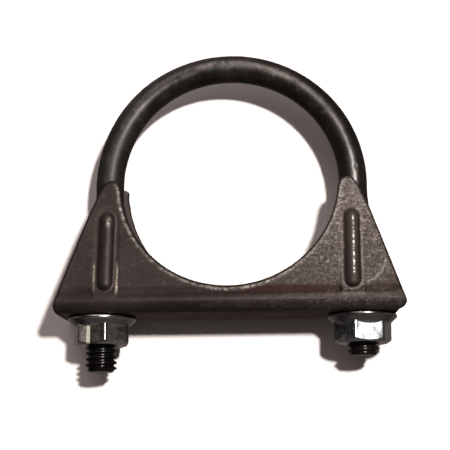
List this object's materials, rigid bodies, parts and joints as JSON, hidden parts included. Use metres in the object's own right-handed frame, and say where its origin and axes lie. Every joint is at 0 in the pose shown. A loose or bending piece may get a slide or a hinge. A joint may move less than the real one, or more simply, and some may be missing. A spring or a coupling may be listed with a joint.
{
  "type": "u-bolt",
  "caption": "Steel U-bolt pipe clamp: a bent round rod with threaded ends, a folded sheet saddle with a half-round seat for the pipe, and hexagon flange nuts.",
  "frame": {"origin": "centre of the pipe that the clamp holds, half-way between the saddle's two walls", "axes": "+Z along the pipe, +Y towards the crown of the U with the nuts towards -Y, +X from the left nut to the right nut"},
  "size_m": [0.086, 0.0813, 0.022],
  "materials": {
    "rod_steel": "dark satin rod with a thin oil film, fine draw lines and small scuffs",
    "sheet_steel": "dark grey-brown oiled sheet with mill scale, fine mottling, brown film in the groove and bright rubbed edges",
    "zinc_plate": "bright zinc plating, slightly bluish, with soft forging marks"
  },
  "bodies": {
    "u_bolt": {"u_bolt": "rod_steel"},
    "saddle": {"saddle": "sheet_steel"},
    "left_nut": {"left_flange_nut": "zinc_plate"},
    "right_nut": {"right_flange_nut": "zinc_plate"}
  },
  "joints": [
    {"name": "saddle_slide", "type": "slide", "parent": "u_bolt", "child": "saddle", "axis": [0, -1, 0], "range_m": [-0.01, 0.009]},
    {"name": "left_nut_spin", "type": "hinge", "parent": "saddle", "child": "left_nut", "pos_m": [-0.03245, -0.037, 0], "axis": [0, -1, 0], "range_deg": [-2552, 2297]},
    {"name": "right_nut_spin", "type": "hinge", "parent": "saddle", "child": "right_nut", "pos_m": [0.03245, -0.037, 0], "axis": [0, -1, 0], "range_deg": [-2552, 2297]}
  ],
  "couplings": [
    {"joint": "left_nut_spin", "follows": "saddle_slide", "rad_per_m": 4452.6},
    {"joint": "right_nut_spin", "follows": "saddle_slide", "rad_per_m": 4452.6}
  ]
}
